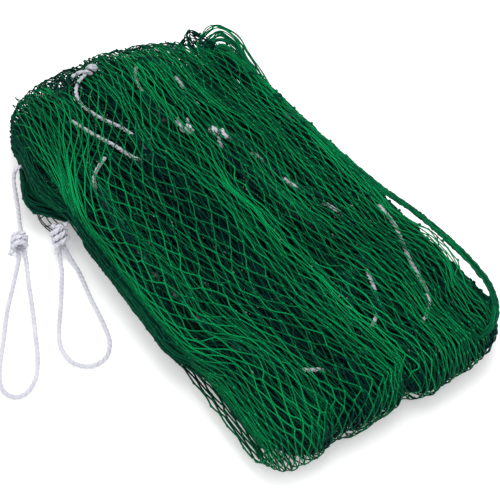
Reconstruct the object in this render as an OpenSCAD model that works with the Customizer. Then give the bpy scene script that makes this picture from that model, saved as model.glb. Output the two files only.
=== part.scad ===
// Safety net of knotted twine, folded into a flat pad for storage, with a white border rope
// and eye loops tied along it. The pad is one sheet laid back and forth, then folded in half:
// the upper half opens about the fold at the +X end, and the two free eye loops lift off the floor.
// +X runs along the pad to its folded end, +Y across it, and the pad lies on Z = 0.

/* [Pad] */
// Length of the folded pad
pad_l = 740; // [700:5:780]
// Width of the pad at the end where its laps lie loose
pad_w_loose = 396; // [390:1:402]
// Width of the pad at its folded end
pad_w_fold = 424; // [418:1:430]
// Thickness that one lap of loosely packed netting takes up
lap_t = 6.2; // [6.1:0.05:6.3]
// Corner radius of a lap, seen from above
corner_r = 62; // [40:2:80]
// How far the outermost laps are drawn in at the pad's rounded sides
side_draw_in = 24; // [16:1:28]

/* [Rope] */
// Diameter of the three-strand border and tie rope
rope_d = 6.5; // [6:0.1:6.5]
// Radius of the knot that closes a free eye loop
knot_r = 11; // [9:0.5:11]
// Length of the same knot along its rope
knot_l = 40; // [34:1:44]
// Radius of a knot that is pressed flat between two laps
flat_knot_r = 11; // [8:0.5:12]

/* [Hidden] */
LAPS_PER_HALF = 6;
LAP_COUNT = 2 * LAPS_PER_HALF;
ROPE_R = rope_d / 2;
// Room that a rope takes between two laps
ROPE_GAP = 7;
HALF_H = LAPS_PER_HALF * lap_t + ROPE_GAP;
// The end laps stop this far short of the fold's hinge line
FOLD_GAP = 0.3;
// Straight chords in one rounded corner of a lap
CORNER_STEPS = 6;
// Sides of a rope's tube
ROPE_SIDES = 8;
// Height of a rope's middle on the floor, between the halves and under the top lap
MIDDLE_Z = LAPS_PER_HALF * lap_t + ROPE_GAP / 2;
TOP_ROPE_Z = HALF_H + (LAPS_PER_HALF - 1) * lap_t + ROPE_GAP / 2;

NETTING = "seagreen";
ROPE = "ghostwhite";

// Routes of the ropes: [x, y] where they lie flat, [x, y, z] where they come down to the floor
MIDDLE_ROUTE = [
    [-338, 118], [-350, 40], [-348, -60], [-332, -134], [-304, -172], [-268, -182], [-176, -188],
    [-100, -189], [0, -183], [120, -168], [240, -152], [300, -118], [322, -50], [334, 60],
    [326, 144], [286, 180], [150, 188], [-20, 186], [-150, 182], [-250, 174]
];
TOP_ROUTE = [
    [-320, 146], [-200, 168], [0, 174], [140, 167], [178, 158], [223, 142], [273, 129], [302, 106],
    [318, 60], [312, 0], [292, -66], [256, -104], [180, -136], [60, -150], [-60, -150], [-112, -146],
    [-156, -136], [-181, -102]
];
LOOP_1_ROUTE = [
    [-268, -203.7, 40.7], [-267, -209, 38], [-262, -215, 29], [-250, -221, 17], [-231, -229, 7],
    [-208, -240, 3.5], [-186, -249, 5], [-165, -259, 8], [-142, -266, 3.6], [-98, -286, 3.5],
    [-56, -304, 3.5], [-10, -325, 3.5], [21, -340, 3.5], [46, -358, 3.5], [59, -380, 3.5],
    [52, -398, 3.5], [30, -402, 3.5], [0, -387, 3.5], [-35, -362, 3.5], [-76, -333, 3.5],
    [-117, -299, 3.5], [-144, -277, 3.6], [-158, -270, 6], [-172, -264, 8]
];
LOOP_2_ROUTE = [
    [-135, -205.5, 40.7], [-136.5, -209.5, 39.5], [-136.5, -213, 35], [-131, -213.5, 29],
    [-124, -214, 23], [-116.5, -214.5, 15], [-107, -214.5, 8.5], [-91, -215.5, 4.2], [-74, -217, 3.5],
    [-27, -227, 3.5], [20, -235, 3.5], [52, -244, 3.5], [71, -262, 3.5], [71, -286, 3.5],
    [52, -303, 3.5], [24, -304, 3.5], [-2, -293, 3.5], [-43, -266, 3.5], [-88, -238, 3.5],
    [-103, -231, 5], [-113, -225.5, 10.5], [-119.5, -220.5, 17.5], [-126, -217, 24.5]
];
PACKED_ROUTES = [
    [
        [-344, -36], [-334, -56], [-316, -70], [-289, -75], [-252, -66], [-215, -50], [-180, -44],
        [-154, -46], [-146, -57], [-158, -68], [-196, -79], [-228, -91], [-254, -99], [-282, -106],
        [-312, -103], [-336, -84], [-349, -60], [-352, -40]
    ],
    [
        [-170, 22], [-200, 17], [-240, 13], [-274, 16], [-303, 27], [-316, 46], [-300, 64],
        [-262, 72], [-225, 66], [-190, 48], [-169, 34]
    ],
    [
        [-121, 66], [-90, 74], [-40, 84], [13, 90], [60, 104], [96, 114], [120, 106], [112, 84],
        [70, 72], [10, 60], [-50, 50], [-100, 50], [-120, 56]
    ],
    [
        [186, 92], [204, 82], [232, 72], [262, 52], [276, 30], [262, 14], [232, 22], [204, 44],
        [184, 70], [174, 90]
    ]
];
PACKED_KNOTS = [[-347, -27], [-161, 27], [-130, 60], [179, 102]];
// Middle of each free knot and the way its rope runs through it
KNOT_1 = [-165, -262, knot_r + 0.2];
KNOT_1_TURN = -26;
KNOT_1_DIP = 0;
KNOT_2 = [-131, -213.5, 28];
KNOT_2_TURN = 0;
KNOT_2_DIP = 40;

function lap_name(i) = str("netting_lap_", i < 10 ? "0" : "", i);
// A lap's number, counted from the middle of the pad outwards
function lap_rank(i) = i <= LAPS_PER_HALF ? LAPS_PER_HALF - i : i - LAPS_PER_HALF - 1;
// The top lap lies on the packed ropes, so it starts one rope higher
function lap_z(i) = i <= LAPS_PER_HALF
    ? (i - 1) * lap_t
    : HALF_H + lap_rank(i) * lap_t + (i == LAP_COUNT ? ROPE_GAP : 0);
function lap_inset(i) =
    let (reach = abs(lap_z(i) + lap_t / 2 - HALF_H) / HALF_H)
    side_draw_in * (1 - sqrt(1 - reach * reach));
function half_width(x) = (pad_w_loose + (pad_w_fold - pad_w_loose) * (x / pad_l + 0.5)) / 2;

// Outline of a lap: a slightly tapered rectangle with round corners, drawn in all round
function lap_outline(inset) =
    let (end_x = pad_l / 2 - FOLD_GAP - inset, bend_x = end_x - corner_r)
    [
        for (corner = [0 : 3])
            let (
                sx = corner == 0 || corner == 3 ? 1 : -1,
                sy = corner < 2 ? 1 : -1,
                mid = [sx * bend_x, sy * (half_width(sx * bend_x) - inset - corner_r)]
            )
            for (step = [0 : CORNER_STEPS])
                let (a = 90 * (corner + step / CORNER_STEPS))
                mid + corner_r * [cos(a), sin(a)]
    ];

function spline_point(p, i, t) =
    let (
        a = p[max(i - 1, 0)], b = p[i], c = p[i + 1], d = p[min(i + 2, len(p) - 1)],
        c1 = (c - a) / 2,
        c2 = a - 2.5 * b + 2 * c - 0.5 * d,
        c3 = 1.5 * (b - c) + 0.5 * (d - a)
    )
    b + t * (c1 + t * (c2 + t * c3));
function smooth_route(p, parts) = concat(
    [for (i = [0 : len(p) - 2]) for (s = [0 : parts - 1]) spline_point(p, i, s / parts)],
    [p[len(p) - 1]]
);
function flat_route(p, z) = [for (q = p) [q.x, q.y, z]];
function unit(v) = v / norm(v);
function ring(mid, along) =
    let (side = unit(cross(along, [0, 0, 1])), up = cross(side, along))
    [for (k = [0 : ROPE_SIDES - 1]) let (a = (k + 0.5) * 360 / ROPE_SIDES)
        mid + ROPE_R * (cos(a) * side + sin(a) * up)];

// A rope's tube, swept along its route with a ring at every point
module rope(route, parts) {
    p = smooth_route(route, parts);
    n = len(p);
    rings = [for (i = [0 : n - 1]) ring(p[i], unit(p[min(i + 1, n - 1)] - p[max(i - 1, 0)]))];
    walls = [
        for (i = [0 : n - 2])
            for (k = [0 : ROPE_SIDES - 1])
                let (a = i * ROPE_SIDES, b = (k + 1) % ROPE_SIDES)
                [a + k, a + b, a + ROPE_SIDES + b, a + ROPE_SIDES + k]
    ];
    first_end = [for (k = [ROPE_SIDES - 1 : -1 : 0]) k];
    last_end = [for (k = [0 : ROPE_SIDES - 1]) (n - 1) * ROPE_SIDES + k];
    color(ROPE)
        polyhedron([for (r = rings) for (q = r) q], concat(walls, [first_end], [last_end]));
}

// Knot of a free eye loop: a barrel with round ends along its rope
module free_knot(middle, turn, dip) {
    reach = knot_l / 2 - knot_r;
    color(ROPE)
        translate(middle)
            rotate([0, 90 + dip, turn])
                rotate_extrude($fn = 48)
                    intersection() {
                        union() {
                            translate([0, reach]) circle(knot_r, $fn = 48);
                            translate([0, -reach]) circle(knot_r, $fn = 48);
                            translate([-knot_r, -reach]) square([2 * knot_r, 2 * reach]);
                        }
                        translate([0, -knot_l]) square([knot_r, 2 * knot_l]);
                    }
}

module netting_lap(i) {
    color(NETTING)
        translate([0, 0, lap_z(i)])
            linear_extrude(lap_t)
                polygon(lap_outline(lap_inset(i)));
}

// Short end of a tie rope, from the border rope to the pad's side
module tie_hitch(x, inner_y, outer_y) {
    color(ROPE)
        translate([x, inner_y, MIDDLE_Z])
            rotate([90, 0, 0])
                cylinder(h = inner_y - outer_y, r = ROPE_R, $fn = 32);
}

module packed_knot(i) {
    color(ROPE)
        translate([PACKED_KNOTS[i - 3].x, PACKED_KNOTS[i - 3].y, TOP_ROPE_Z - ROPE_R])
            cylinder(h = rope_d, r = flat_knot_r, $fn = 48);
}

module packed_loop(i) {
    rope(flat_route(PACKED_ROUTES[i - 3], TOP_ROPE_Z), 2);
}

module border_rope_middle() {
    rope(flat_route(MIDDLE_ROUTE, MIDDLE_Z), 3);
}

module border_rope_top() {
    rope(flat_route(TOP_ROUTE, TOP_ROPE_Z), 3);
}

module tie_hitch_1() {
    tie_hitch(-268, -185.6, -201.5);
}

module tie_hitch_2() {
    tie_hitch(-135, -193, -202.3);
}

module tie_loop_1() {
    rope(LOOP_1_ROUTE, 2);
}

module tie_loop_2() {
    rope(LOOP_2_ROUTE, 2);
}

module tie_knot_1() {
    free_knot(KNOT_1, KNOT_1_TURN, KNOT_1_DIP);
}

module tie_knot_2() {
    free_knot(KNOT_2, KNOT_2_TURN, KNOT_2_DIP);
}

for (i = [1 : LAP_COUNT]) netting_lap(i);
border_rope_middle();
border_rope_top();
tie_hitch_1();
tie_hitch_2();
tie_loop_1();
tie_loop_2();
tie_knot_1();
tie_knot_2();
for (i = [3 : 6]) packed_loop(i);
for (i = [3 : 6]) packed_knot(i);
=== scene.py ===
"""Looks of the folded safety net: knotted twine laid back and forth, white border rope, eye loops."""

import math

import bpy
import numpy as np
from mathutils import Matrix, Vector


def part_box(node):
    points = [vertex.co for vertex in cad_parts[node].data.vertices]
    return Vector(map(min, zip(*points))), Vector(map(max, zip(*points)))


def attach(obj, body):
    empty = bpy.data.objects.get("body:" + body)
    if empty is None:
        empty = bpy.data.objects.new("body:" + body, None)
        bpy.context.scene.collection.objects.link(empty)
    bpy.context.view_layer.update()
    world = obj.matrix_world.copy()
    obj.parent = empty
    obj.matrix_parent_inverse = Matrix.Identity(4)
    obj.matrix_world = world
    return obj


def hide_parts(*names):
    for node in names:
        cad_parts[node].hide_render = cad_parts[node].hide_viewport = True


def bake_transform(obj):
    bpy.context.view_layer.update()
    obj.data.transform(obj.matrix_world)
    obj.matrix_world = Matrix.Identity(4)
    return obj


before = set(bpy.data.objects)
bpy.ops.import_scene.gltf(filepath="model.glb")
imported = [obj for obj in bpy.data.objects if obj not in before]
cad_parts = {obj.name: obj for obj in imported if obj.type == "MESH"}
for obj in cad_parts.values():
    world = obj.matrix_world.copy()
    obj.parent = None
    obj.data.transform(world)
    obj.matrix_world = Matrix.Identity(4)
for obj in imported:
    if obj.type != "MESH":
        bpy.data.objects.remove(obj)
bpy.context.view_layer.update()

MM = 0.001

# ---------------------------------------------------------------- camera
VIEW_AZIMUTH = 55.0
VIEW_ELEVATION = 52.0
VIEW_DISTANCE = 2.1
FOCAL_MM = 104.3
SENSOR_MM = 36
AIM = (0.029, 0.0085, 0.0)


def make_camera():
    azimuth, elevation = math.radians(VIEW_AZIMUTH), math.radians(VIEW_ELEVATION)
    level = math.cos(elevation)
    look = Vector((-math.sin(azimuth) * level, math.cos(azimuth) * level, -math.sin(elevation)))
    data = bpy.data.cameras.new("camera")
    data.lens = FOCAL_MM
    data.sensor_width = SENSOR_MM
    camera = bpy.data.objects.new("camera", data)
    camera.location = Vector(AIM) - look * VIEW_DISTANCE
    camera.rotation_euler = look.to_track_quat("-Z", "Y").to_euler()
    bpy.context.scene.collection.objects.link(camera)
    bpy.context.scene.camera = camera


# ---------------------------------------------------------------- meshes
def unit(v):
    return v / np.maximum(np.linalg.norm(v, axis=-1, keepdims=True), 1e-12)


def tube_rings(centres, radii, sides, reference, turn=0.0):
    """Rings of points round each centre line: centres is (n, m, 3), radii and turn broadcast to
    (n, m, sides)."""
    along = unit(np.gradient(centres, axis=1))
    side = unit(np.cross(along, np.broadcast_to(reference, along.shape)))
    up = np.cross(side, along)
    angle = np.arange(sides) * 2 * math.pi / sides + turn
    angle = np.broadcast_to(angle, centres.shape[:2] + (sides,))
    radii = np.broadcast_to(radii, angle.shape)
    rings = (
        centres[:, :, None, :]
        + (radii * np.cos(angle))[..., None] * side[:, :, None, :]
        + (radii * np.sin(angle))[..., None] * up[:, :, None, :]
    )
    return rings, angle


def tube_faces(count, rings, sides, first):
    """Quads of the walls and the two end faces of every tube, as vertex numbers from first on."""
    base = first + np.arange(count)[:, None, None] * rings * sides
    ring = np.arange(rings - 1)[None, :, None] * sides
    k = np.arange(sides)[None, None, :]
    k_next = (k + 1) % sides
    low = base + ring
    high = low + sides
    quads = np.stack(np.broadcast_arrays(low + k, high + k, high + k_next, low + k_next), axis=-1)
    start = first + np.arange(count)[:, None] * rings * sides
    last = start + (rings - 1) * sides
    around = np.arange(sides)[None, :]
    return quads.reshape(-1, 4), np.concatenate([start + around, last + around[:, ::-1]])


class Tubes:
    """Collects tubes into one mesh with the attributes that the twine and rope materials read."""

    def __init__(self):
        self.verts, self.quads, self.ends, self.data = [], [], [], []
        self.count = 0
        self.strand_length = 0.0

    def add(self, centres, radii, sides, reference=(0, 1, 0), turn=0.0, tint=0.5, depth=0.0):
        rings, angle = tube_rings(centres, radii, sides, np.array(reference, float), turn)
        n, m = centres.shape[:2]
        quads, ends = tube_faces(n, m, sides, self.count)
        step = np.linalg.norm(np.diff(centres, axis=1), axis=2)
        along = np.concatenate([np.zeros((n, 1)), np.cumsum(step, axis=1)], axis=1)
        values = np.broadcast_arrays(along[:, :, None], np.cos(angle), np.sin(angle), tint, depth)
        self.verts.append(rings.reshape(-1, 3))
        self.data.append(np.stack(values, axis=-1).reshape(-1, 5))
        self.quads.append(quads)
        self.ends.append(ends)
        self.count += n * m * sides

    def mesh(self, name):
        verts = np.concatenate(self.verts)
        faces = self.quads + self.ends
        data = bpy.data.meshes.new(name)
        data.vertices.add(len(verts))
        data.vertices.foreach_set("co", verts.astype(np.float32).ravel())
        corners = np.concatenate([f.ravel() for f in faces]).astype(np.int32)
        sizes = np.concatenate([np.full(len(f), f.shape[1]) for f in faces])
        data.loops.add(len(corners))
        data.loops.foreach_set("vertex_index", corners)
        data.polygons.add(len(sizes))
        starts = np.concatenate([[0], np.cumsum(sizes)[:-1]])
        data.polygons.foreach_set("loop_start", starts.astype(np.int32))
        data.polygons.foreach_set("use_smooth", np.ones(len(sizes), bool))
        values = np.concatenate(self.data).astype(np.float32)
        for column, label in enumerate(("along", "around_cos", "around_sin", "tint", "depth")):
            attribute = data.attributes.new(label, "FLOAT", "POINT")
            attribute.data.foreach_set("value", np.ascontiguousarray(values[:, column]))
        data.update(calc_edges=True)
        data.validate()
        return data


def add_piece(name, mesh, material):
    piece = bpy.data.objects.new(name, mesh)
    bpy.context.scene.collection.objects.link(piece)
    mesh.materials.append(material)
    return piece


# ---------------------------------------------------------------- materials
# Colour ramps, as place and colour
TWINE_GREENS = [(0.3, (0.0, 0.225, 0.064)), (0.5, (0.0, 0.29, 0.082)), (0.72, (0.001, 0.36, 0.104))]
STRAND_SHADES = [(0.0, (0.42, 0.45, 0.5)), (0.45, (0.8, 0.8, 0.8)), (1.0, (1.12, 1.12, 1.12))]
# Painted shade in the grooves of the twine's twist
TWIST_GROOVE_SHADE = [(0.0, (0.55, 0.57, 0.55)), (0.55, (1.0, 1.0, 1.0)), (1.0, (1.08, 1.1, 1.08))]
ROPE_WHITES = [(0.3, (0.57, 0.57, 0.64)), (0.7, (0.71, 0.71, 0.77))]
# Painted shade in the grooves between a rope's yarns
YARN_GROOVE_SHADE = [(0.0, (0.74, 0.75, 0.78)), (0.6, (1.0, 1.0, 1.0))]
FLOOR_GREYS = [(0.3, (0.84, 0.84, 0.84)), (0.7, (0.87, 0.87, 0.87))]
# Painted shade: how much of its colour a piece loses with its depth in the pad, and the near-black colour
# painted in instead
PAINTED_SHADE_RAMP = [(0.0, (0.0, 0.0, 0.0)), (1.0, (0.93, 0.93, 0.93))]
TWINE_SHADE_COLOUR = (0.001, 0.007, 0.018)
ROPE_SHADE_COLOUR = (0.02, 0.03, 0.04)
WHITE = (1, 1, 1, 1)
# Length of one turn of the twine's twist, and of the yarns in a strand of rope
TWINE_LAY = 4.5 * MM
YARN_LAY = 6 * MM


class Nodes:
    """Short way to build a material's node tree."""

    def __init__(self, name):
        self.material = bpy.data.materials.new(name)
        self.material.use_nodes = True
        self.tree = self.material.node_tree
        self.shader = self.tree.nodes["Principled BSDF"]

    def node(self, kind, **settings):
        made = self.tree.nodes.new(kind)
        for key, value in settings.items():
            setattr(made, key, value)
        return made

    def link(self, source, target):
        self.tree.links.new(source, target)

    def attribute(self, label):
        return self.node("ShaderNodeAttribute", attribute_name=label).outputs["Fac"]

    def math(self, operation, a, b=0.0, c=0.0):
        made = self.node("ShaderNodeMath", operation=operation)
        for slot, value in enumerate((a, b, c)):
            if isinstance(value, (int, float)):
                made.inputs[slot].default_value = value
            else:
                self.link(value, made.inputs[slot])
        return made.outputs[0]

    def noise(self, scale, detail=2.0, roughness=0.5):
        place = self.node("ShaderNodeTexCoord").outputs["Object"]
        made = self.node("ShaderNodeTexNoise")
        made.inputs["Scale"].default_value = scale
        made.inputs["Detail"].default_value = detail
        made.inputs["Roughness"].default_value = roughness
        self.link(place, made.inputs["Vector"])
        return made.outputs["Fac"]

    def ramp(self, value, stops):
        made = self.node("ShaderNodeValToRGB")
        band = made.color_ramp
        while len(band.elements) < len(stops):
            band.elements.new(0.5)
        for element, (place, colour) in zip(band.elements, stops):
            element.position = place
            element.color = (*colour, 1)
        self.link(value, made.inputs["Fac"])
        return made.outputs["Color"]

    def mix(self, mode, factor, a, b):
        made = self.node("ShaderNodeMix", data_type="RGBA", blend_type=mode)
        for key, value in ((0, factor), (6, a), (7, b)):
            if isinstance(value, (int, float)):
                made.inputs[key].default_value = value
            elif isinstance(value, tuple):
                made.inputs[key].default_value = (*value, 1)
            else:
                self.link(value, made.inputs[key])
        return made.outputs[2]

    def bump(self, height, strength, distance):
        made = self.node("ShaderNodeBump")
        made.inputs["Strength"].default_value = strength
        made.inputs["Distance"].default_value = distance
        self.link(height, made.inputs["Height"])
        self.link(made.outputs["Normal"], self.shader.inputs["Normal"])

    def twist(self, lay, strands):
        """A wave that winds round the tube: high on each strand, low in the grooves between them."""
        turns = self.math("MULTIPLY", self.attribute("along"), 2 * math.pi / lay)
        around = self.math("ARCTAN2", self.attribute("around_sin"), self.attribute("around_cos"))
        phase = self.math("MULTIPLY_ADD", around, float(strands), self.math("MULTIPLY", turns, strands))
        return self.math("MULTIPLY_ADD", self.math("SINE", phase), 0.5, 0.5)


def twine_material():
    m = Nodes("green_twine")
    strand = m.twist(lay=TWINE_LAY, strands=1)
    patches = m.noise(9.0, 3.0)
    fibres = m.noise(900.0, 2.0)
    base = m.ramp(patches, TWINE_GREENS)
    base = m.mix("MULTIPLY", 1.0, base, m.ramp(m.attribute("tint"), STRAND_SHADES))
    # Painted shade: darker in the grooves of the twist
    base = m.mix("MULTIPLY", 0.8, base, m.ramp(strand, TWIST_GROOVE_SHADE))
    # Painted shade: the colour goes toward near-black by the attribute for painted shade deep in the pad
    base = m.mix("MIX", m.ramp(m.attribute("depth"), PAINTED_SHADE_RAMP), base, TWINE_SHADE_COLOUR)
    m.link(base, m.shader.inputs["Base Color"])
    m.link(m.math("MULTIPLY_ADD", fibres, 0.25, 0.55), m.shader.inputs["Roughness"])
    m.shader.inputs["Specular IOR Level"].default_value = 0.05
    height = m.math("ADD", strand, m.math("MULTIPLY", fibres, 0.35))
    m.bump(height, 0.6, 0.0003)
    return m.material


def rope_material():
    m = Nodes("white_rope")
    yarns = m.twist(lay=YARN_LAY, strands=2)
    soft = m.noise(45.0, 3.0)
    fibres = m.noise(1400.0, 3.0)
    base = m.ramp(soft, ROPE_WHITES)
    # Painted shade: darker in the grooves between the yarns
    base = m.mix("MULTIPLY", 0.8, base, m.ramp(yarns, YARN_GROOVE_SHADE))
    # Painted shade: the rope goes toward near-black where it lies hidden under the mesh
    base = m.mix("MIX", m.ramp(m.attribute("depth"), PAINTED_SHADE_RAMP), base, ROPE_SHADE_COLOUR)
    m.link(base, m.shader.inputs["Base Color"])
    m.link(m.math("MULTIPLY_ADD", fibres, 0.3, 0.45), m.shader.inputs["Roughness"])
    m.shader.inputs["Sheen Weight"].default_value = 0.25
    m.shader.inputs["Sheen Roughness"].default_value = 0.5
    height = m.math("ADD", yarns, m.math("MULTIPLY", fibres, 0.6))
    m.bump(height, 0.5, 0.0004)
    return m.material


# ---------------------------------------------------------------- ropes
UP = np.array((0.0, 0.0, 1.0))
ROPE_LAY = 25 * MM
# From a rope's centre to the crown of a strand: free, in a free knot and packed under the top lap
ROPE_REACH = 3.5 * MM
KNOT_REACH = 4.2 * MM
PACKED_REACH = 3.1 * MM
# The strands of a rope: place of their centres, radius and bottom of the groove, as parts of the reach
STRAND_PLACE = 0.536
STRAND_R = 0.464
GROOVE = 0.66
# A rope's rings: their spacing and sides
FREE_RINGS = {"step": 1.3 * MM, "sides": 21}
PACKED_RINGS = {"step": 1.6 * MM, "sides": 18}
BORDER_RINGS = {"step": 1.8 * MM, "sides": 15}
# A packed rope under close mesh: how much lower it lies, how soon it gets there, and how soon it fades into
# painted shade
PACKED_SINK = 16 * MM
SINK_FADE = 24 * MM
SHOW_FADE = 8 * MM
# Painted shade of a packed rope under close mesh and under open mesh
HIDDEN_ROPE_SHADE = 0.93
SHOWN_ROPE_SHADE = 0.34
# The middle of a free knot is at least this high, so that its wraps lie on the floor
KNOT_LOWEST = 14.9 * MM
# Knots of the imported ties
PACKED_KNOT_L = 25 * MM
PACKED_KNOT_R = 5 * MM
PACKED_KNOT_TURNS = 1.6
CROSSING_L = 20 * MM
# Heights of the two runs of border rope, in millimetres like the routes
MIDDLE_Z = 40.7
TOP_ROPE_Z = 78.7

# Routes, the same as in the CAD model
MIDDLE_ROUTE = [
    (-338, 118), (-350, 40), (-348, -60), (-332, -134), (-304, -172), (-268, -182), (-176, -188),
    (-100, -189), (0, -183), (120, -168), (240, -152), (300, -118), (322, -50), (334, 60),
    (326, 144), (286, 180), (150, 188), (-20, 186), (-150, 182), (-250, 174),
]
TOP_ROUTE = [
    (-320, 146), (-200, 168), (0, 174), (140, 167), (178, 158), (223, 142), (273, 129), (302, 106),
    (318, 60), (312, 0), (292, -66), (256, -104), (180, -136), (60, -150), (-60, -150), (-112, -146),
    (-156, -136), (-181, -102),
]
LOOP_1_ROUTE = [
    (-268, -203.7, 40.7), (-267, -209, 38), (-262, -215, 29), (-250, -221, 17), (-231, -229, 7),
    (-208, -240, 3.5), (-186, -249, 5), (-165, -259, 8), (-142, -266, 3.6), (-98, -286, 3.5),
    (-56, -304, 3.5), (-10, -325, 3.5), (21, -340, 3.5), (46, -358, 3.5), (59, -380, 3.5),
    (52, -398, 3.5), (30, -402, 3.5), (0, -387, 3.5), (-35, -362, 3.5), (-76, -333, 3.5),
    (-117, -299, 3.5), (-144, -277, 3.6), (-158, -270, 6), (-172, -264, 8),
]
LOOP_2_ROUTE = [
    (-135, -205.5, 40.7), (-136.5, -209.5, 39.5), (-136.5, -213, 35), (-131, -213.5, 29),
    (-124, -214, 23), (-116.5, -214.5, 15), (-107, -214.5, 8.5), (-91, -215.5, 4.2), (-74, -217, 3.5),
    (-27, -227, 3.5), (20, -235, 3.5), (52, -244, 3.5), (71, -262, 3.5), (71, -286, 3.5),
    (52, -303, 3.5), (24, -304, 3.5), (-2, -293, 3.5), (-43, -266, 3.5), (-88, -238, 3.5),
    (-103, -231, 5), (-113, -225.5, 10.5), (-119.5, -220.5, 17.5), (-126, -217, 24.5),
]
PACKED_ROUTES = {
    3: [
        (-344, -36), (-334, -56), (-316, -70), (-289, -75), (-252, -66), (-215, -50), (-180, -44),
        (-154, -46), (-146, -57), (-158, -68), (-196, -79), (-228, -91), (-254, -99), (-282, -106),
        (-312, -103), (-336, -84), (-349, -60), (-352, -40),
    ],
    4: [
        (-170, 22), (-200, 17), (-240, 13), (-274, 16), (-303, 27), (-316, 46), (-300, 64),
        (-262, 72), (-225, 66), (-190, 48), (-169, 34),
    ],
    5: [
        (-121, 66), (-90, 74), (-40, 84), (13, 90), (60, 104), (96, 114), (120, 106), (112, 84),
        (70, 72), (10, 60), (-50, 50), (-100, 50), (-120, 56),
    ],
    6: [
        (186, 92), (204, 82), (232, 72), (262, 52), (276, 30), (262, 14), (232, 22), (204, 44),
        (184, 70), (174, 90),
    ],
}
PACKED_KNOTS = {3: (-347, -27), 4: (-161, 27), 5: (-130, 60), 6: (179, 102)}
# Free eye loops: route, and the heading and dip of the knot's axis in degrees
EYE_LOOPS = {1: (LOOP_1_ROUTE, -26, 0), 2: (LOOP_2_ROUTE, 0, 40)}
# Places where the mesh over a packed rope lies open enough to show it: middle x, y and radius
OPENINGS = np.array(
    [
        (-342, -40, 17), (-345, -22, 9), (-318, -70, 13), (-289, -74, 14), (-254, -66, 17),
        (-217, -50, 20), (-252, -98, 16), (-227, -90, 18), (-199, -77, 18), (-169, -66, 16),
        (-178, -110, 12), (-160, -134, 15),
        (-165, 24, 16), (-132, 56, 24), (-302, 27, 9), (-276, 16, 9), (-247, 70, 10), (-54, 73, 8),
        (13, 90, 9), (85, 112, 10), (140, 167, 17), (169, 160, 13), (186, 146, 13), (215, 142, 14),
        (248, 136, 13),
        (284, 122, 16), (303, 104, 12), (204, 76, 8), (222, 72, 9), (274, 44, 9), (284, -74, 9),
    ]
)


def mix(a, b, t):
    return a + (b - a) * t


def smooth_step(t):
    t = np.clip(t, 0, 1)
    return t * t * (3 - 2 * t)


def shown_through(places, fade):
    """1 where the mesh over a packed rope lies open, falling to 0 over the distance fade outside."""
    apart = np.sqrt(((places[:, None, :2] - OPENINGS[None, :, :2] * MM) ** 2).sum(axis=-1))
    return (1 - smooth_step((apart - OPENINGS[:, 2] * MM) / fade)).max(axis=1)


def spline(points, parts):
    """Catmull-Rom curve through the points along axis -2, with parts steps in each span."""
    p = np.asarray(points, float)
    p = np.concatenate([p[..., :1, :], p, p[..., -1:, :]], axis=-2)
    a, b, c, d = p[..., :-3, :], p[..., 1:-2, :], p[..., 2:-1, :], p[..., 3:, :]
    t = (np.arange(parts) / parts)[:, None]
    a, b, c, d = (v[..., :, None, :] for v in (a, b, c, d))
    bend_in = a - 2.5 * b + 2 * c - 0.5 * d
    bend_on = 1.5 * (b - c) + 0.5 * (d - a)
    curve = b + t * ((c - a) / 2 + t * (bend_in + t * bend_on))
    curve = curve.reshape(*curve.shape[:-3], -1, 3)
    return np.concatenate([curve, p[..., -2:-1, :]], axis=-2)


def even_points(points, step):
    """The same curve with points an even distance apart."""
    gaps = np.linalg.norm(np.diff(points, axis=0), axis=1)
    along = np.concatenate([[0], np.cumsum(gaps)])
    places = np.linspace(0, along[-1], max(int(round(along[-1] / step)), 4) + 1)
    return np.stack([np.interp(places, along, points[:, k]) for k in range(3)], axis=1)


def route_points(route, height=None):
    points = np.array([(*p[:2], p[2] if len(p) > 2 else height) for p in route], float) * MM
    return spline(points, 12)


def parallel_turns(centres, reference):
    """Angle by which the fixed-reference frame turns away from one carried along without twist."""
    along = unit(np.gradient(centres, axis=0))
    side = unit(np.cross(along, reference))
    up = np.cross(side, along)
    turn = np.zeros(len(centres))
    for i in range(1, len(centres)):
        before = side[i - 1]
        carried = before - along[i] * np.dot(before, along[i])
        turn[i] = turn[i - 1] + math.atan2(np.dot(carried, up[i]), np.dot(carried, side[i]))
    return turn


def rope_tube(tubes, points, step, sides, reach=ROPE_REACH, packed=False):
    """Three strands laid together, as one grooved surface that winds round the route.
    A packed rope sinks deeper into the pad, and is darkened with painted shade, where the mesh over it lies
    close."""
    centres = even_points(points, step)
    depth = 0.0
    if packed:
        reach = PACKED_REACH
        centres[:, 2] -= PACKED_SINK * (1 - shown_through(centres, SINK_FADE))
        # Painted shade, strong under close mesh and weaker under open mesh
        depth = mix(HIDDEN_ROPE_SHADE, SHOWN_ROPE_SHADE, shown_through(centres, SHOW_FADE))[None, :, None]
    along = np.arange(len(centres)) * np.linalg.norm(centres[1] - centres[0])
    turn = parallel_turns(centres, UP) + along * 2 * math.pi / ROPE_LAY
    angle = np.arange(sides) * 2 * math.pi / sides
    from_strand = (angle + math.pi / 3) % (2 * math.pi / 3) - math.pi / 3
    beside = STRAND_PLACE * np.sin(from_strand)
    outline = STRAND_PLACE * np.cos(from_strand) + np.sqrt(np.maximum(STRAND_R**2 - beside**2, 0))
    radii = np.maximum(outline, GROOVE) * reach
    tubes.add(centres[None], radii, sides, UP, turn[None, :, None], depth=depth)
    return centres


def rope_piece(name, points, material, **settings):
    tubes = Tubes()
    centres = rope_tube(tubes, points, **settings)
    return add_piece(name, tubes.mesh(name), material), centres


def level_axes(heading):
    """A level direction and the level one square to it."""
    axis = np.array([math.cos(heading), math.sin(heading), 0.0])
    return axis, np.array([-axis[1], axis[0], 0.0])


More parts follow.
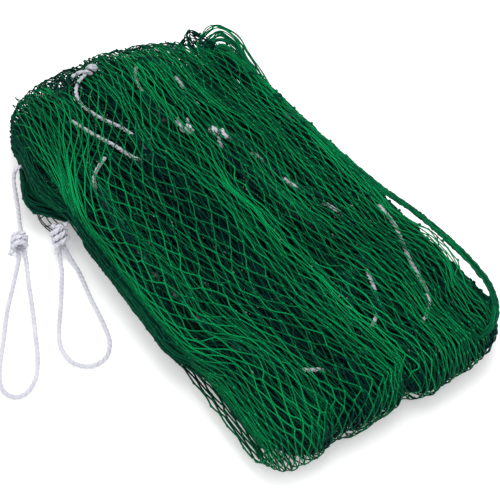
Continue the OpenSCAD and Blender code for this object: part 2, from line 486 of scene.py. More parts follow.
def knot_route(middle, heading, length, radius, turns):
    """Rope wound round its own standing part: in along the axis, round it and out to a short tail."""
    axis, across = level_axes(heading)
    t = np.linspace(0, 1, 60)
    angle = 2 * math.pi * turns * t - math.pi * 0.6
    bulge = radius * (1 - 0.12 * np.cos(2 * math.pi * t))
    coil = (
        middle
        + np.outer((t - 0.5) * length * 0.62 + 1.8 * MM * np.sin(angle), axis)
        + np.outer(bulge * np.cos(angle), across)
        + np.outer(bulge * np.sin(angle) * 0.9, UP)
    )
    tail = coil[-1] + np.outer([4 * MM, 9 * MM, 14 * MM], axis * 0.75 - across * 0.55)
    start = middle - np.outer([length * 0.5, length * 0.34], axis)
    return spline(np.concatenate([start, coil[::3], tail]), 6)


def crossing_route(middle, heading, length, radius):
    """The second part of an overhand knot: one slanting turn across the first."""
    axis, across = level_axes(heading)
    t = np.linspace(-0.15, 1.15, 16)
    angle = -2 * math.pi * t + 0.8
    return spline(
        middle
        + np.outer((0.5 - t) * length * 0.75, axis)
        + np.outer(radius * 0.92 * np.cos(angle), across)
        + np.outer(radius * 0.92 * np.sin(angle), UP),
        6,
    )


def free_knot_routes(middle, heading, dip):
    """A free eye loop's knot: wraps round the rope with the tail at their end, and one slanting turn
    across them."""
    level, across = level_axes(heading)
    axis = level * math.cos(dip) - UP * math.sin(dip)
    up = np.cross(axis, across)

    def around(angle, radius, place):
        angle = np.asarray(angle, float)
        out = np.outer(np.cos(angle), across) + np.outer(np.sin(angle), up)
        return middle + np.outer(place, axis) + radius * out

    t = np.linspace(0, 1, 34)
    bulge = 8.2 * MM + 1.6 * MM * np.sin(math.pi * t)[:, None]
    wraps = around(2 * math.pi * 2.4 * t + 0.6, bulge, (t - 0.5) * 21 * MM)
    tail = wraps[-1] + np.outer([4 * MM, 9 * MM, 14 * MM], axis * 0.8 - across * 0.5)
    t = np.linspace(0, 1, 14)
    slant = around(2.5 + 3.4 * t, 10.6 * MM, (0.5 - t) * 27 * MM)
    lead = middle - np.outer([19 * MM, 14 * MM], axis)
    return spline(np.concatenate([lead, wraps, tail]), 4), spline(slant, 6)


def stand_in(piece, body, node):
    """The piece moves with the body and is shown in place of the CAD node."""
    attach(piece, body)
    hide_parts(node)


def middle_of(node):
    low, high = (np.array(corner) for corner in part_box(node))
    return (low + high) / 2


def make_eye_loop(number, material):
    """A free eye loop and the knot that closes it."""
    route, heading, dip = EYE_LOOPS[number]
    loop, centres = rope_piece(f"eye_rope_{number}", route_points(route), material, **FREE_RINGS)
    middle = middle_of(f"tie_knot_{number}")
    middle[2] = max(middle[2], KNOT_LOWEST)
    tubes = Tubes()
    for part in free_knot_routes(middle, math.radians(heading), math.radians(dip)):
        rope_tube(tubes, part, **FREE_RINGS, reach=KNOT_REACH)
    knot = add_piece(f"eye_knot_{number}", tubes.mesh(f"eye_knot_{number}"), material)
    stand_in(loop, f"eye_loop_{number}", f"tie_loop_{number}")
    stand_in(knot, f"eye_loop_{number}", f"tie_knot_{number}")


def make_hitch(number, material):
    """The short end that joins a free eye loop to the border rope."""
    low, high = (np.array(corner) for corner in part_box(f"tie_hitch_{number}"))
    x, _, z = (low + high) / 2
    route = np.array([(x, high[1] + 4 * MM, z), (x, low[1] + 2 * MM, z), (x, low[1], z)])
    hitch, _ = rope_piece(f"hitch_rope_{number}", route, material, **FREE_RINGS)
    stand_in(hitch, "lower_half", f"tie_hitch_{number}")


def make_border_rope(node, route, height, body, material, packed):
    points = route_points(route, height)
    rope, _ = rope_piece(f"{node}_laid", points, material, **BORDER_RINGS, packed=packed)
    stand_in(rope, body, node)


def make_packed_tie(number, material):
    """A tie folded in under the top lap: its loop and its knot."""
    route = PACKED_ROUTES[number]
    points = route_points(route, TOP_ROPE_Z)
    rope, _ = rope_piece(f"packed_rope_{number}", points, material, **PACKED_RINGS, packed=True)
    stand_in(rope, "upper_half", f"packed_loop_{number}")
    middle = np.array((*PACKED_KNOTS[number], TOP_ROPE_Z)) * MM
    toward_x, toward_y = np.array(route[0]) - np.array(PACKED_KNOTS[number])
    heading = math.atan2(toward_y, toward_x)
    tubes = Tubes()
    for part in (
        knot_route(middle, heading, PACKED_KNOT_L, PACKED_KNOT_R, PACKED_KNOT_TURNS),
        crossing_route(middle, heading, CROSSING_L, PACKED_KNOT_R),
    ):
        rope_tube(tubes, part, **PACKED_RINGS, packed=True)
    knot = add_piece(f"packed_turns_{number}", tubes.mesh(f"packed_turns_{number}"), material)
    stand_in(knot, "upper_half", f"packed_knot_{number}")


def make_ropes(material):
    for number in EYE_LOOPS:
        make_eye_loop(number, material)
        make_hitch(number, material)
    make_border_rope("border_rope_middle", MIDDLE_ROUTE, MIDDLE_Z, "lower_half", material, packed=False)
    make_border_rope("border_rope_top", TOP_ROUTE, TOP_ROPE_Z, "upper_half", material, packed=True)
    for number in PACKED_ROUTES:
        make_packed_tie(number, material)


# ---------------------------------------------------------------- netting
# The sheet: radius of its twine, strands across, rows of mesh in a lap and laps
TWINE_R = 0.9 * MM
COLUMNS = 84
LAP_ROWS = 31
LAPS = 12
# The pad: half its length, width at the loose end and at the fold, height between its halves and of its top
HALF_L = 370 * MM
W_LOOSE = 396 * MM
W_FOLD = 424 * MM
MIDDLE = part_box("netting_lap_07")[0][2]
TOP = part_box("netting_lap_12")[1][2]
# Each lap in the order in which the sheet runs through the pad, from the free end on top
LAP_ORDER = (12, 1, 2, 11, 10, 3, 4, 9, 8, 5, 6, 7)
# Rows of mesh in the bend at the fold, by the lower lap of the pair that it joins
FOLD_ROWS = {6: 1, 5: 2, 4: 3, 3: 4, 2: 4, 1: 5}
# How far that bend bulges at the innermost pair, more at each pair further out, and at the loose end's turns
FOLD_BULGE = 16 * MM
FOLD_BULGE_MORE = 2.5 * MM
TURN_BULGE = 7 * MM
# Creases in the bend at the fold: places across the pad, width and how far they draw the laps in
NOTCHES = (30 * MM, -88 * MM)
NOTCH_W = 10 * MM
NOTCH_DEPTH = 9 * MM
# Gathers and edges are set along a guide line that ends this far from the pad's middle
GUIDE_HALF = HALF_L - 20 * MM
# Corners of a lap at the fold: the far one, the near one, and the near one of the bottom and top laps
FAR_CORNER_R = 62 * MM
NEAR_CORNER_R = 78 * MM
OWN_NEAR_CORNER_R = {1: 60 * MM, LAPS: 40 * MM}
# Room left for the bend at the fold, and how much further the bottom lap goes
FOLD_ROOM = 16 * MM
BOTTOM_LONGER = 8 * MM
# The loose end: how far it reaches, how much further the top lap goes, and the most for each
LOOSE_REACH = 356 * MM
TOP_LONGER = 26 * MM
LONGEST = 378 * MM
TOP_LONGEST = 387 * MM
# Its bow: how much it draws in at BOW_HALF from BOW_Y, and how much it stands out at the height BOW_Z
BOW_IN, BOW_Y, BOW_HALF = 50 * MM, -40 * MM, 170 * MM
BOW_OUT, BOW_Z, BOW_HALF_Z = 24 * MM, 38 * MM, 50 * MM
# Its near corner: where it starts to draw in, over how much and by how much
CUT_Y, CUT_SPAN, CUT_IN = -135 * MM, 65 * MM, 60 * MM
# Sideways play of the columns in long and in short waves, and of a lap's height
SWAY = 9 * MM
RIPPLE = 2.6 * MM
SWELL = 2.2 * MM
TOP_SWELL = 1.6 * MM
# The near side is drawn in toward the fold; near the loose end it stands out in a clump with a dip beside it
NEAR_IN, NEAR_IN_X, NEAR_IN_SPAN = 25 * MM, 120 * MM, 100 * MM
CLUMP_X, CLUMP_SPAN = -250 * MM, 55 * MM
CLUMP_OUT = {"lower": 32 * MM, "upper": 13 * MM}
DIP_X, DIP_SPAN = -168 * MM, 28 * MM
DIP_IN = {"lower": 20 * MM, "upper": 4 * MM}
# Each lap keeps this far from the plane between the halves, so that they part without crossing
HALVES_GAP = 1.5 * MM
# Painted shade for depth in the pad away from the edges, for the laps where it isn't 1, and at the rim: on
# top, and more painted shade lower down
INNER_SHADE = {11: 0.5, 10: 0.82, 7: 0.35, 6: 0.35, 5: 0.8}
RIM_SHADE = 0.66
RIM_SHADE_BELOW = 0.28
# The bottom lap's painted shade near the fold, where it shows below the others, as a part of the rest's
BOTTOM_SHADE_PART = 0.6
# How far the top lap's near side hangs out: near the loose end, along the middle and near the fold
HANG_LOOSE, HANG_MIDDLE, HANG_FOLD = 4 * MM, 46 * MM, 12 * MM
# Radius with which it turns down, and how far it droops at the loose end and into the bunch
TURN_DOWN_R = 24 * MM
LOOSE_DROOP = 30 * MM
BUNCH_DROOP = 5 * MM
# Random shake of the nodes along, across and up, in millimetres, and its part in the bends
SHAKE = np.array([3.0, 0.45, 0.4])
BEND_SHAKE = 0.35
# A strand: how far it lies beside its node, how much lower than others it lies at most and how much more
# painted shade it then gets, half the length that it shares with its neighbour at a knot, the pull of its
# ends, and how much it strays between knots
BESIDE = 0.95 * TWINE_R
STRAND_DROP = 2.2 * MM
STRAND_EXTRA_SHADE = 0.45
SIDE_BY_SIDE = 1.5 * MM
PULL = (0.3, 0.75)
STRAY = 0.5 * MM
# A mesh knot: its rings along the strand, and their radii
MESH_KNOT_PLACES = np.array([-2.4, -0.8, 0.8, 2.4]) * MM
MESH_KNOT_RADII = np.array([0.7, 1.45, 1.45, 0.7]) * TWINE_R
# Sides of a strand, and its points from knot to knot. Hidden twine is thicker, so that it closes the view
SEEN_PIECES = ("lap_12", "lap_11", "fold_1", "fold_2")
SEEN_SIDES = 5
HIDDEN_SIDES = 4
HIDDEN_THICKER = 1.4
# The sheet's edge, gathered into a loose bunch of strands that stands off the pad's far side
BUNCH_STRANDS = 30
BUNCH_R = 4.8 * MM
BUNCH_ROUTE = [
    (-110, 172, 78), (-50, 177, 79), (0, 181, 80), (50, 184, 81), (100, 189, 82), (150, 199, 82),
    (200, 206, 81), (250, 209, 80), (300, 206, 80), (335, 195, 79), (357, 178, 77), (367, 160, 72),
    (364, 145, 64), (348, 138, 55),
]
# Strands that stray from it
STRAY_STRANDS = [
    [(208, 200, 80), (216, 196, 78), (226, 190, 74)],
    [(326, 204, 79), (336, 183, 73), (350, 172, 70), (362, 172, 74)],
]
# Loose loops of the sheet's edge at the far corner of the loose end: the outermost one, the point that the
# others shrink toward, how much they shrink and sink at most, their random shake and their number
ARCH_ROUTE = [
    (-120, 168, 78), (-187, 184, 80), (-227, 189, 84), (-270, 193, 88), (-306, 184, 90), (-313, 164, 84),
    (-300, 140, 76), (-262, 130, 70),
]
ARCH_MIDDLE = np.array([-230, 150, 0])
ARCH_SHRINK = np.array([0.62, 0.62, 0])
ARCH_SINK = np.array([0, 0, 14])
ARCH_SHAKE = 1.6
ARCHES = 44
# Strands of the lower half that hang open in the dip behind the second free knot
OPEN_STRANDS = [
    [(-222, -205, 20), (-206, -211, 14), (-186, -216, 7), (-162, -212, 4), (-146, -204, 8), (-140, -196, 20)],
    [(-224, -203, 18), (-206, -209, 11), (-188, -213, 5), (-166, -209, 3), (-150, -200, 5)],
    [(-214, -200, 24), (-198, -204, 18), (-178, -207, 12), (-156, -204, 10), (-140, -198, 16)],
    [(-206, -198, 26), (-190, -201, 26), (-172, -203, 22), (-152, -202, 24)],
    [(-192, -214, 6), (-186, -203, 16), (-176, -200, 28)],
    [(-176, -215, 4), (-166, -205, 12), (-152, -203, 26)],
]
# How far the top lap reaches beside the bunch, as x and y: it touches it between two gaps
BUNCH_EDGE = np.array(
    [
        (-370, 180), (-187, 181), (-60, 186), (20, 188), (80, 186), (150, 184), (185, 191),
        (215, 201), (270, 203), (300, 188), (370, 178),
    ]
)


def rise(x, start, span):
    """0 up to the start, and 1 from a span beyond it."""
    return smooth_step((x - start) / span)


def hump(x, middle, width):
    """1 at the middle, falling to nothing on both sides."""
    return np.exp(-(((x - middle) / width) ** 2))


def waves(seed, along, across, count=7):
    """A smooth field over x and y, about -1 to 1: wavelengths are ranges along the lap and across it."""
    rng = np.random.default_rng(seed)
    kx = 2 * math.pi / rng.uniform(*along, count) * rng.choice((-1, 1), count)
    ky = 2 * math.pi / rng.uniform(*across, count)
    phase = rng.uniform(0, 2 * math.pi, count)

    def field(x, y):
        x, y = np.broadcast_arrays(x, y)
        return np.sin(x[..., None] * kx + y[..., None] * ky + phase).sum(axis=-1) / math.sqrt(2 * count)

    return field


def lap_level(lap):
    low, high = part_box(f"netting_lap_{lap:02d}")
    return (low[2] + high[2]) / 2


def lap_inset(lap):
    return HALF_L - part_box(f"netting_lap_{lap:02d}")[1][0]


def packed_rope_places():
    flat = [route_points(TOP_ROUTE, TOP_ROPE_Z)[::4]]
    flat += [route_points(route, TOP_ROPE_Z)[::3] for route in PACKED_ROUTES.values()]
    knots = [(*place, TOP_ROPE_Z) for place in PACKED_KNOTS.values()]
    return np.concatenate(flat + [np.array(knots) * MM])[:, :2]


ROPE_PLACES = packed_rope_places()


def over_rope(x, y):
    """1 right over a packed rope, 0 beside it and wherever the mesh lies open."""
    places = np.stack([x, y], axis=-1)
    gap = np.sqrt(((places[:, None, :] - ROPE_PLACES[None]) ** 2).sum(axis=-1)).min(axis=1)
    over = 1 - rise(gap, 7 * MM, 11 * MM)
    return over * (1 - shown_through(places, 6 * MM))


def notches(y):
    """1 in each crease in the bend at the fold, 0 beside them."""
    return sum(hump(y, middle, NOTCH_W) for middle in NOTCHES)


class Lap:
    """One lap of the sheet: where its columns of mesh run, how high it lies and how much painted shade it
    gets deep in the pad.
    """

    def __init__(self, lap):
        self.lap = lap
        self.top = lap == LAPS
        self.half = "upper" if lap > LAPS // 2 else "lower"
        self.rng = np.random.default_rng(100 + lap)
        self.level = lap_level(lap)
        self.inset = lap_inset(lap)
        self.gathers = self.make_gathers()
        self.height = waves(200 + lap, (90 * MM, 300 * MM), (60 * MM, 200 * MM))
        self.sway = waves(300 + lap, (260 * MM, 700 * MM), (160 * MM, 500 * MM))
        self.ripple = waves(400 + lap, (110 * MM, 260 * MM), (45 * MM, 110 * MM))
        self.pleat = waves(500 + lap, (900 * MM, 990 * MM), (38 * MM, 110 * MM))
        self.slack = self.rng.uniform(-7, 4) * MM

    def make_gathers(self):
        """Where columns are drawn together: strength, middle, width, slope, drift, pace, phase, and 1 for
        those that start only some way in from the loose end."""
        draw = self.rng.uniform
        gathers = [(2.2, -1.0, 0.10, 0, 0, 9, 0, 0), (2.0, 1.0, 0.09, 0, 0, 9, 0, 0)]
        if self.top:
            gathers = [
                (2.6, -0.97, 0.13, 0.0, 0.0, 9, 0, 1),
                (2.4, -0.80, 0.10, 0.0, 0.01, 9, 0, 1),
                (0.9, -0.42, 0.05, 0.10, 0.05, 8, 1.0, 0),
                (0.7, -0.10, 0.06, 0.15, 0.05, 7, 2.0, 0),
                (1.1, 0.42, 0.12, 0.10, 0.05, 6, 0.5, 0),
                (1.3, 0.72, 0.12, 0.0, 0.03, 9, 0.5, 0),
                (1.8, 0.97, 0.07, 0.0, 0.01, 9, 0, 0),
            ]
        for _ in range(22):
            gathers.append(
                (
                    draw(0.6, 2.2), draw(-0.98, 0.98), draw(0.014, 0.04), draw(-0.3, 0.3),
                    draw(0.02, 0.07), draw(10, 26), draw(0, 6.3), 0,
                )
            )
        return np.array(gathers, float).T

    def columns(self, x):
        """Places of the column lines across the lap, -1 to 1, at one place along it."""
        strength, middle, width, slope, drift, pace, phase, later = self.gathers
        grid = np.linspace(-1, 1, 601)
        centre = middle + slope * x + drift * np.sin(pace * x + phase)
        strength = strength * mix(1, 0.1 + 0.9 * rise(x, -340 * MM, 260 * MM), later)
        if self.top:
            by_near_edge = middle < -0.7
            strength = strength * np.where(by_near_edge, 1 - 0.5 * rise(x, -120 * MM, 400 * MM), 1)
        narrow = width < 0.05
        hold = strength * np.where(narrow, 0.55 + 0.45 * np.sin(0.7 * pace * x + 2 * phase), 1)
        density = 1 + (hold * hump(grid[:, None], centre, width)).sum(axis=1)
        if self.lap == 1:
            open_edge = rise(x, 100 * MM, 100 * MM) * rise(-grid, 0.7, 0.12)
            density = mix(density, 2.0, open_edge)
        total = np.cumsum(density)
        total = (total - total[0]) / (total[-1] - total[0])
        return np.interp(np.linspace(0, 1, COLUMNS + 1), total, grid)

    def half_width(self, x):
        plain = (W_LOOSE + (W_FOLD - W_LOOSE) * (x / (2 * HALF_L) + 0.5)) / 2
        return plain - self.inset * 0.75 - 4 * MM

    def left_reach(self, y):
        """The loose end bows out in the middle and at half the pad's height, and draws in at the corners."""
        round_off = math.sqrt(1 - ((self.level - BOW_Z) / BOW_HALF_Z) ** 2)
        reach = LOOSE_REACH - BOW_IN * ((y - BOW_Y) / BOW_HALF) ** 2 + BOW_OUT * round_off + self.slack
        if self.top:
            reach = reach + TOP_LONGER
        reach = reach - CUT_IN * (np.maximum(CUT_Y - y, 0) / CUT_SPAN) ** 2
        return np.minimum(reach, TOP_LONGEST if self.top else LONGEST)

    def right_reach(self, y):
        """The folded end, with rounded corners and the creases."""
        end = HALF_L - FOLD_ROOM - self.inset * 0.5 - NOTCH_DEPTH * notches(y)
        if self.lap == 1:
            end = end + BOTTOM_LONGER
        radius = np.where(y < 0, OWN_NEAR_CORNER_R.get(self.lap, NEAR_CORNER_R), FAR_CORNER_R)
        over = np.clip(np.abs(y) - (self.half_width(HALF_L) - radius), 0, 0.85 * radius)
        return end - radius + np.sqrt(radius**2 - over**2)

    def rows(self, f):
        """Nodes across the lap at part f of its length from the loose end: x, y, z and painted shade for
        depth in the pad.
        """
        guide = (2 * f - 1) * GUIDE_HALF
        place = self.columns(guide)
        y = place * self.half_width(guide)
        x = mix(-self.left_reach(y), self.right_reach(y), f)
        free = 1 - np.abs(place) ** 5
        y = y + free * (self.sway(x, y) * SWAY + self.ripple(x, y) * RIPPLE)
        if self.top:
            return self.top_rows(f, guide, place, x, y)
        return self.inner_rows(f, guide, place, x, y)

    def inner_rows(self, f, guide, place, x, y):
        """Laps under the top one lie flat, and close up toward the middle at their edges."""
        near = smooth_step(-place / 0.9)
        if self.lap > 1:
            y = y + near * NEAR_IN * rise(guide, NEAR_IN_X, NEAR_IN_SPAN)
        y = y - near * CLUMP_OUT[self.half] * hump(guide, CLUMP_X, CLUMP_SPAN)
        y = y + near * DIP_IN[self.half] * hump(guide, DIP_X, DIP_SPAN)
        edge = np.abs(place)
        side = 1 - 0.5 * rise(edge, 0.8, 0.2)
        left_end = 1 - 0.3 * smooth_step((0.06 - f) / 0.06)
        z = MIDDLE + (self.level - MIDDLE) * side * left_end + self.height(x, y) * SWELL
        if self.half == "upper":
            z = np.maximum(z, MIDDLE + HALVES_GAP)
            if self.lap > LAPS // 2 + 1:
                cover = TOP - (4.0 + 1.2 * (LAPS - 1 - self.lap)) * MM
                z = mix(z, np.maximum(z, cover), over_rope(x, y))
        else:
            z = np.clip(z, TWINE_R * 1.3, MIDDLE - HALVES_GAP)
        # Painted shade: darker away from the edges and the loose end, and darker lower down at the rim
        from_side = (1 - edge) * self.half_width(guide)
        inner = smooth_step(from_side / (45 * MM)) * smooth_step((HALF_L + x) / (60 * MM))
        rim = RIM_SHADE + RIM_SHADE_BELOW * (1 - z / TOP)
        depth = mix(rim, INNER_SHADE.get(self.lap, 1.0), inner)
        return np.stack([x, y, z, depth], axis=1)

    def top_rows(self, f, guide, place, x, y):
        """The top lap hangs down the near side and ends in a loose bunch along the far one."""
        half = self.half_width(guide) - 11 * MM * rise(guide, 120 * MM, 100 * MM)
        hang = mix(HANG_LOOSE, HANG_MIDDLE, rise(guide, -220 * MM, 130 * MM))
        hang = mix(hang, HANG_FOLD, rise(guide, 150 * MM, 100 * MM))
        y = y - hang * smooth_step(-place / 0.9) * (place < 0)
        over = np.maximum(-y - (half - TURN_DOWN_R), 0)
        angle = np.minimum(over / TURN_DOWN_R, math.pi / 2)
        drop = TURN_DOWN_R * (1 - np.cos(angle)) + np.maximum(over - TURN_DOWN_R * math.pi / 2, 0)
        z = self.level - drop + self.height(x, y) * TOP_SWELL
        z = z - LOOSE_DROOP * np.clip((0.13 - f) / 0.13, 0, 1) ** 1.6
        y = np.where(over > 0, -(half - TURN_DOWN_R + TURN_DOWN_R * np.sin(angle)), y)
        x = np.where(over > 0, mix(-self.left_reach(y), self.right_reach(y), f), x)
        z = np.maximum(z, 3 * MM) - BUNCH_DROOP * rise(place, 0.8, 0.2)
        edge = np.interp(guide / MM, *BUNCH_EDGE.T) * MM
        y = np.where(place > 0, y * edge / y[-1], y)
        # Painted shade: darker where the lap hangs down the side and near the loose end
        depth = 0.12 + 0.75 * smooth_step(drop / (70 * MM)) + 0.12 * smooth_step((0.09 - f) / 0.09)
        return np.stack([x, y, z, depth], axis=1)


def bend(start, end, sign, count, reach, pleat):
    """Rows round a bend from one row of nodes to another, bulging out by reach times pleat."""
    rows = []
    for i in range(1, count + 1):
        f = i / (count + 1)
        row = mix(start, end, f)
        half_gap = np.abs(start[:, 2] - end[:, 2]) / 2
        bulge = np.minimum(reach, half_gap * 0.9 + 5 * MM) * pleat
        row[:, 0] = row[:, 0] + sign * bulge * math.sin(math.pi * f)
        row[:, 2] = (start[:, 2] + end[:, 2]) / 2 + (start[:, 2] - end[:, 2]) / 2 * math.cos(math.pi * f)
        rows.append(row)
    return rows


def fold_pleats(lap, y):
    """How far the bend at the fold bulges: broad lobes with two deep notches, and small pleats."""
    lobes = 1 + 0.12 * lap.pleat(300 * MM, y) - 0.6 * notches(y)
    far = rise(y, -10 * MM, 60 * MM)
    return np.clip(lobes * mix(0.72, 1.12, far), 0.25, 1.4)


def fold_bend(lap, other, start):
    """The bend at the fold from one lap's last row to the next lap's first."""
    rank = min(lap.lap, other.lap)
    end = other.rows(1.0)
    # The bottom lap gets less painted shade where it shows below the others
    if other.lap == 1:
        end[:, 3] *= BOTTOM_SHADE_PART
    reach = FOLD_BULGE + FOLD_BULGE_MORE * (LAPS // 2 - rank)
    return f"fold_{rank}", bend(start, end, 1, FOLD_ROWS[rank], reach, fold_pleats(lap, start[:, 1]))


def loose_turn(lap, other, start):
    """The turn at the loose end from one lap's last row to the next lap's first."""
    pleat = np.clip(1 + 0.5 * lap.pleat(-300 * MM, start[:, 1]), 0.3, 2)
    return f"turn_{lap.lap:02d}", bend(start, other.rows(0.0), -1, 1, TURN_BULGE, pleat)


def make_rows():
    """Node rows of the whole sheet in order, each one's share of the shake, and each stretch's name, first
    and last row."""
    laps = {lap: Lap(lap) for lap in range(1, LAPS + 1)}
    rows, loose, stretches = [], [], []
    to_fold = True
    for place, number in enumerate(LAP_ORDER):
        begin = len(rows)
        for i in range(LAP_ROWS + 1):
            f = i / LAP_ROWS
            row = laps[number].rows(f if to_fold else 1 - f)
            # The bottom lap gets less painted shade near the fold, where it shows below the others
            if number == 1:
                row[:, 3] *= mix(1, BOTTOM_SHADE_PART, rise(row[:, 0], 150 * MM, 100 * MM))
            rows.append(row)
            loose.append(1.0)
        stretches.append((f"lap_{number:02d}", begin, len(rows) - 1))
        if place + 1 < LAPS:
            join = fold_bend if to_fold else loose_turn
            last = len(rows) - 1
            name, bent = join(laps[number], laps[LAP_ORDER[place + 1]], rows[-1])
            rows += bent
            loose += [BEND_SHAKE] * len(bent)
            stretches.append((name, last, len(rows)))
            to_fold = not to_fold
    return np.array(rows), np.array(loose), stretches


def bars(nodes, along, steps, rng):
    """Strands through their nodes: side by side with the neighbour at each node, curved between."""
    a = nodes[:, :-1, :3] + along[:, :-1] * SIDE_BY_SIDE
    b = nodes[:, 1:, :3] - along[:, 1:] * SIDE_BY_SIDE
    span = np.linalg.norm(b - a, axis=-1, keepdims=True)
    pull = rng.uniform(*PULL, span.shape)
    ta, tb = along[:, :-1] * span * pull, along[:, 1:] * span * pull
    t = np.linspace(0, 1, steps)[None, None, :, None]
    a, b, ta, tb = (v[:, :, None, :] for v in (a, b, ta, tb))
    curve = (
        (2 * t**3 - 3 * t**2 + 1) * a + (t**3 - 2 * t**2 + t) * ta
        + (3 * t**2 - 2 * t**3) * b + (t**3 - t**2) * tb
    )
    stray = rng.normal(0, STRAY, (*span.shape[:2], 1, 3)) * np.array([0, 1, 1])
    curve = curve + stray * np.sin(math.pi * t) ** 2
    # The painted shade runs along between the nodes' values
    depth = mix(nodes[:, :-1, None, 3:], nodes[:, 1:, None, 3:], t)
    curve = np.concatenate([curve, depth], axis=-1)
    return curve.reshape(len(nodes), -1, 4)


def make_netting():
    """The tubes of every piece of netting, by name. A turn at the loose end goes with the lap before it."""
    rows, loose, stretches = make_rows()
    rng = np.random.default_rng(11)
    shake = rng.normal(0, 1, (*rows.shape[:2], 3)) * SHAKE * MM
    rows[..., :3] += shake * loose[:, None, None]
    rows[..., 2] = np.maximum(rows[..., 2], TWINE_R * 1.25)
    line = unit(np.gradient(rows[..., :3], axis=0))
    i, c = np.meshgrid(np.arange(len(rows)), np.arange(COLUMNS), indexing="ij")
    column = c + (i + c) % 2
    nodes = rows[i, column]
    nodes[..., 1] += np.where(column == c, BESIDE, -BESIDE)
    strands = nodes.transpose(1, 0, 2)
    # Lower strands are given more painted shade
    lower = rng.uniform(0, 1, (COLUMNS, 1)) ** 2
    strands[..., 2] = np.maximum(strands[..., 2] - STRAND_DROP * lower, TWINE_R)
    strands[..., 3] = np.minimum(strands[..., 3] + STRAND_EXTRA_SHADE * lower, 1.0)
    along = line[i, column].transpose(1, 0, 2)
    tint = rng.uniform(0, 1, (COLUMNS, 1, 1))
    pieces = {}
    for name, first, last in stretches:
        kind, number = name.split("_")
        key = name if kind == "fold" else f"lap_{number}"
        tubes = pieces.setdefault(key, Tubes())
        seen = key in SEEN_PIECES
        sides = SEEN_SIDES if seen else HIDDEN_SIDES
        radius = TWINE_R * (1 if seen else HIDDEN_THICKER)
        curve = bars(strands[:, first : last + 1], along[:, first : last + 1], sides, rng)
        lengths = np.linalg.norm(np.diff(curve[..., :3], axis=1), axis=-1)
        tubes.strand_length += float(lengths.sum() / COLUMNS)
        curve[..., 2] = np.maximum(curve[..., 2], radius)
        tubes.add(curve[..., :3], radius, sides, tint=tint, depth=curve[..., 3:])
        add_mesh_knots(tubes, rows, line, first, last, sides)
    add_bunch(pieces["lap_12"], rng)
    add_arches(pieces["lap_12"], rng)
    # Painted shade on the stray strands and on the open ones below
    for route in STRAY_STRANDS:
        add_strand(pieces["lap_12"], route, depth=0.8)
    for route in OPEN_STRANDS:
        add_strand(pieces["lap_03"], route, depth=0.85)
    return pieces


def add_mesh_knots(tubes, rows, line, first, last, sides):
    """A small knot where the strands meet, drawn out along the strand."""
    i, c = np.meshgrid(np.arange(first, last), np.arange(COLUMNS + 1), indexing="ij")
    there = (i + c) % 2 == 0
    i, c = i[there], c[there]
    centres = rows[i, c][:, None, :3] + MESH_KNOT_PLACES[None, :, None] * line[i, c][:, None, :]
    centres[..., 2] = np.maximum(centres[..., 2], MESH_KNOT_RADII.max())
    # The knots take the painted shade of their nodes
    tubes.add(centres, MESH_KNOT_RADII[None, :, None], sides, tint=0.6, depth=rows[i, c][:, None, 3:])


def add_bunch(tubes, rng):
    """Strands that run together in a loose bunch, swapping places as they go."""
    centre = even_points(route_points(BUNCH_ROUTE), 6 * MM)
    along = unit(np.gradient(centre, axis=0))
    side = unit(np.cross(along, UP))
    up = np.cross(side, along)
    way = np.linspace(0, 1, len(centre))
    each = (BUNCH_STRANDS, 1)
    angle = rng.uniform(0, 2 * math.pi, each)
    angle = angle + rng.uniform(-3, 3, each) * way + 0.5 * np.sin(way * rng.uniform(9, 25, each))
    out = BUNCH_R * np.sqrt(rng.uniform(0.1, 1, angle.shape))
    out = out * (1 + 0.12 * np.sin(way * rng.uniform(8, 30, angle.shape)))
    sideways = (out * np.cos(angle))[..., None] * side
    upward = (out * np.sin(angle) * 0.8)[..., None] * up
    # Painted shade on the bunch's strands
    depth = rng.uniform(0.4, 0.85, (*each, 1))
    tint = rng.uniform(0, 1, (*each, 1))
    tubes.add(centre + sideways + upward, TWINE_R, SEEN_SIDES, UP, tint=tint, depth=depth)


def add_strand(tubes, route, **look):
    """One loose strand along its route, in millimetres."""
    strand = even_points(spline(np.array(route) * MM, 6), 3 * MM)
    tubes.add(strand[None], TWINE_R, SEEN_SIDES, UP, **look)


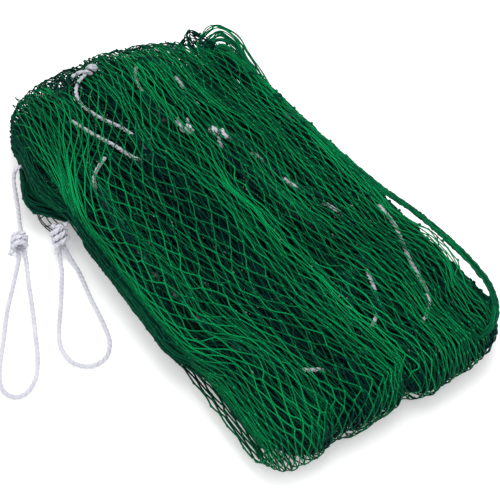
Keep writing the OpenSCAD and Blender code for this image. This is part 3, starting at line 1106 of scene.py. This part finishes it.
def add_arches(tubes, rng):
    """Loose loops inside one another, smaller and lower toward their middle."""
    outermost = np.array(ARCH_ROUTE) - ARCH_MIDDLE
    for _ in range(ARCHES):
        inward = rng.uniform(0, 1) ** 1.1
        route = outermost * (1 - ARCH_SHRINK * inward) + ARCH_MIDDLE - ARCH_SINK * inward
        route = route + rng.normal(0, ARCH_SHAKE, outermost.shape)
        tint = rng.uniform(0.2, 1)
        # Painted shade, at random on each loop
        add_strand(tubes, route, tint=tint, depth=rng.uniform(0.2, 0.85))


def place_netting(pieces, material):
    """Laps ride with their half of the pad; the bends at the fold are fixed in place, on neither half."""
    for key, tubes in pieces.items():
        piece = add_piece(f"netting_{key}_mesh", tubes.mesh(f"netting_{key}"), material)
        kind, number = key.split("_")
        if kind == "lap":
            body = "upper_half" if int(number) > LAPS // 2 else "lower_half"
            stand_in(piece, body, f"netting_lap_{number}")
        else:
            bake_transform(piece)


# ---------------------------------------------------------------- stage
FLOOR_SIZE = 8.0
FLOOR_GLOW = 0.28
LIGHT_PLACE = Vector((-0.5, 0.5, 2.4))
LIGHT_SIZE = 2.0
LIGHT_POWER = 32


def make_stage():
    bpy.ops.mesh.primitive_plane_add(size=FLOOR_SIZE, location=(0, 0, 0))
    floor = bpy.context.object
    floor.name = "floor"
    m = Nodes("pale_floor")
    grain = m.noise(3.0, 2.0)
    m.link(m.ramp(grain, FLOOR_GREYS), m.shader.inputs["Base Color"])
    m.shader.inputs["Roughness"].default_value = 0.9
    m.shader.inputs["Emission Color"].default_value = WHITE
    m.shader.inputs["Emission Strength"].default_value = FLOOR_GLOW
    floor.data.materials.append(m.material)
    world = bpy.data.worlds.new("studio")
    bpy.context.scene.world = world
    world.use_nodes = True
    world.node_tree.nodes["Background"].inputs["Color"].default_value = WHITE
    world.node_tree.nodes["Background"].inputs["Strength"].default_value = 1.0
    data = bpy.data.lights.new("key", "AREA")
    data.shape = "DISK"
    data.size = LIGHT_SIZE
    data.energy = LIGHT_POWER
    light = bpy.data.objects.new("key", data)
    light.location = LIGHT_PLACE
    light.rotation_euler = (-LIGHT_PLACE).to_track_quat("-Z", "Y").to_euler()
    bpy.context.scene.collection.objects.link(light)
    bpy.context.scene.view_settings.view_transform = "Standard"


make_camera()
rope_finish = rope_material()
make_ropes(rope_finish)
twine_finish = twine_material()
place_netting(make_netting(), twine_finish)
make_stage()
